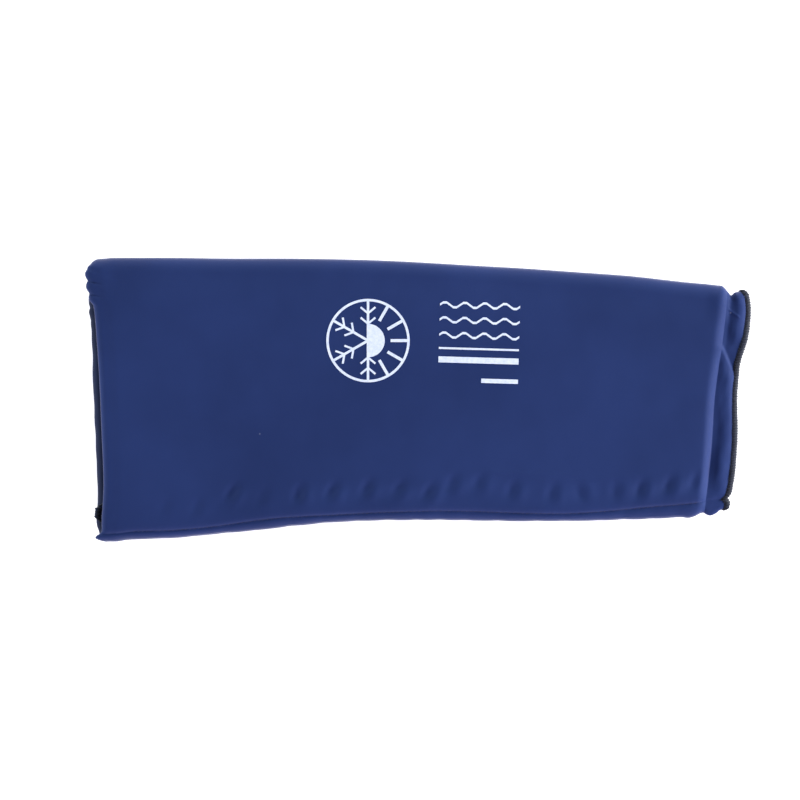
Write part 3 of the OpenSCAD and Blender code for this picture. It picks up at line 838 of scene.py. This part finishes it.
# ---------------------------------------------------------------- the seam's edges, turned to the inside
PLIES_T = 2.7
LOW = LINING_ROOM - INNER_H                       # the underside of the flat part, from the mid-plane
HIGH = LOW + PLIES_T
TIP = 9                                           # the point that the thread is wound round
ALLOWANCE_SECTION = np.array([
    (-2.5, 3.4), (-1.9, 3.75), (-1.3, 3.6), (-0.9, 2.5), (-0.2, 1.4), (1, HIGH + 0.05), (3, HIGH),
    (5.2, HIGH), (5.9, HIGH - 0.3), (6.1, (LOW + HIGH) / 2), (5.9, LOW + 0.3), (5.2, LOW), (3, LOW),
    (0.4, LOW), (-0.8, -1.75), (-1.6, -1.1), (-2.0, 0), (-2.1, 1.5), (-2.4, 2.7)])


def allowance_points():
    """The doubled edges in the hollow, a ring of points every 3 mm."""
    x = np.arange(-168, 166.5, 3.0)
    y, z = ALLOWANCE_SECTION.T
    middle = through(x, SEAM_EDGE) + OUTER_H
    wander = 0.25 * np.sin(x / 6.0) + 0.2 * np.sin(x / 2.7)
    p = np.zeros((len(x), len(y), 3))
    p[..., 1] = middle[:, None] + y[None, :] + wander[:, None] * smooth(1, 5, y)[None, :]
    p[..., 2] = OUTER_H + z[None, :]
    p[..., 0] = leaned(x[:, None], p[..., 1])
    return p


plies = allowance_points()
rings, ring_points = plies.shape[:2]
allowance = mesh("seam_allowance_plies", plies.reshape(-1, 3), ring_faces(rings, ring_points, False), inside)
outward, upward = np.tile([0.0, 1, 0], (rings, 1)), np.tile([0.0, 0, 1], (rings, 1))
allowance_threads = overlock(plies[:, TIP], outward, upward, False, pitch=1.7, wide=1.8, thick=1.5,
                             thread=0.26, turns=10, sides=4)
allowance_overlock = mesh("seam_allowance_overlock", *allowance_threads, thread)


# ---------------------------------------------------------------- the print, laid on the cover
def height_at(x, y):
    """The cover's height over points of the flat part of the front."""
    g = face[~ROLLED][:, FLAT]
    px, py, pz = g[..., 0], g[..., 1], g[..., 2]
    out = np.empty(len(x))
    for i in range(len(x)):
        r = np.argmin(np.abs(px[:, len(FLAT) // 2] - x[i]))
        near = slice(max(r - 4, 0), r + 5)
        away = ((px[near] - x[i]) ** 2 + (py[near] - y[i]) ** 2).ravel()
        nearest = np.argsort(away)[:4]
        w = 1 / (away[nearest] + 1e-3)
        out[i] = (pz[near].ravel()[nearest] * w).sum() / w.sum()
    return out


def decal(name, source):
    """A printed node's own shape, cut finer and laid on the cover."""
    longest = 0.0025                              # metres, as the frame's nodes are
    above, sunk = 0.16, -0.1                      # the print's face over the cloth and its base in it, in mm
    bm = bmesh.new()
    bm.from_mesh(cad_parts[source].data)
    base = min(v.co.z for v in bm.verts) * 1000
    for _ in range(6):
        edges = [e for e in bm.edges if e.calc_length() > longest]
        if not edges:
            break
        bmesh.ops.subdivide_edges(bm, edges=edges, cuts=1)
        bmesh.ops.triangulate(bm, faces=bm.faces[:])
    p = np.array([v.co for v in bm.verts]) * 1000
    on_top = p[:, 2] > base + 0.1
    lift = np.where(on_top, above, sunk)
    for v, z in zip(bm.verts, height_at(p[:, 0], p[:, 1]) + lift):
        v.co.z = z / 1000
    data = bpy.data.meshes.new(name)
    bm.to_mesh(data)
    bm.free()
    data.materials.clear()
    data.materials.append(ink)
    o = bpy.data.objects.new(name, data)
    bpy.context.scene.collection.objects.link(o)
    return o


mark = decal("hot_cold_mark", "printed_mark")
lines = decal("print_lines", "printed_lines")

# ---------------------------------------------------------------- onto the frame
for o in (cover, lining, narrow_overlock, wide_overlock):
    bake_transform(o)
for o in (seam_stitches, mark, lines):
    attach(o, "front_wall")
for o in (allowance, allowance_overlock):
    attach(o, "back_wall")
for name, o in pads.items():
    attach(o, name.split("_")[0] + "_wall")

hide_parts("front_cover", "back_cover")
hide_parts("front_lining", "back_lining")
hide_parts("front_narrow_hem_thread", "back_narrow_hem_thread")
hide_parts("front_wide_hem_thread", "back_wide_hem_thread")
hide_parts("long_seam_thread")
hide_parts("seam_allowance")
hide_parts("seam_allowance_thread")
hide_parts("printed_mark")
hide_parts("printed_lines")
for wall in ("front", "back"):
    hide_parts(wall + "_gel")
    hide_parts(wall + "_outer_film")
    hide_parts(wall + "_inner_film")


# ---------------------------------------------------------------- floor, light and camera
def pale_floor():
    m, tree, shader, where = new_material("pale_floor")
    cloud = texture(tree, "ShaderNodeTexNoise", where, Scale=3.0)
    colour = ramp(tree, cloud.outputs["Fac"], [(0.3, grey(0.9)), (0.7, grey(0.93))])
    tree.links.new(colour, shader.inputs["Base Color"])
    shader.inputs["Roughness"].default_value = 0.9
    shader.inputs["Specular IOR Level"].default_value = 0.0
    shader.inputs["Emission Color"].default_value = (1, 1, 1, 1)
    shader.inputs["Emission Strength"].default_value = 0.7
    side = 6000
    corners = [(-side, -side, 0), (side, -side, 0), (side, side, 0), (-side, side, 0)]
    floor = mesh("floor", corners, [(0, 1, 2, 3)], m)
    floor.location.z = -0.0003
    return floor


def white_world():
    world = bpy.context.scene.world or bpy.data.worlds.new("studio")
    bpy.context.scene.world = world
    world.use_nodes = True
    background = world.node_tree.nodes["Background"]
    background.inputs["Color"].default_value = (1, 1, 1, 1)
    background.inputs["Strength"].default_value = 0.22


def area_light(name, at, to, size, power, colour=(1, 1, 1)):
    """A square lamp at one place, turned to another, in metres and watts."""
    light = bpy.data.lights.new(name, "AREA")
    light.energy = power
    light.size = size
    light.color = colour
    o = bpy.data.objects.new(name, light)
    o.location = at
    o.rotation_mode = "QUATERNION"
    o.rotation_quaternion = (Vector(to) - Vector(at)).to_track_quat("-Z", "Y")
    bpy.context.scene.collection.objects.link(o)


def camera_above():
    """Straight down over the sleeve."""
    distance = 1.7                                # metres, from the middle of the sleeve's thickness
    view_width = 0.4819                           # metres seen across at that distance
    cam = bpy.data.objects.new("camera", bpy.data.cameras.new("camera"))
    cam.location = (-0.01084, -0.0006, distance + OUTER_H / 1000)
    cam.rotation_euler = (0, 0, 0)
    cam.data.sensor_width = 36
    cam.data.lens = cam.data.sensor_width * distance / view_width
    cam.data.clip_end = 20
    bpy.context.scene.collection.objects.link(cam)
    bpy.context.scene.camera = cam


pale_floor()
white_world()
area_light("key", (2.1, 0.3, 0.5), (0.05, 0, 0), 1.0, 112)
area_light("fold_side", (0.1, 2.0, 0.6), (0, 0, 0), 1.1, 30)
area_light("seam_side", (0.2, -2.0, 0.5), (0, 0, 0), 1.1, 40, (0.96, 0.8, 1))
area_light("wide_side", (-2.0, 0, 0.4), (0, 0, 0), 1.0, 46, (0.88, 0.96, 1))
camera_above()
bpy.context.scene.view_settings.view_transform = "Standard"
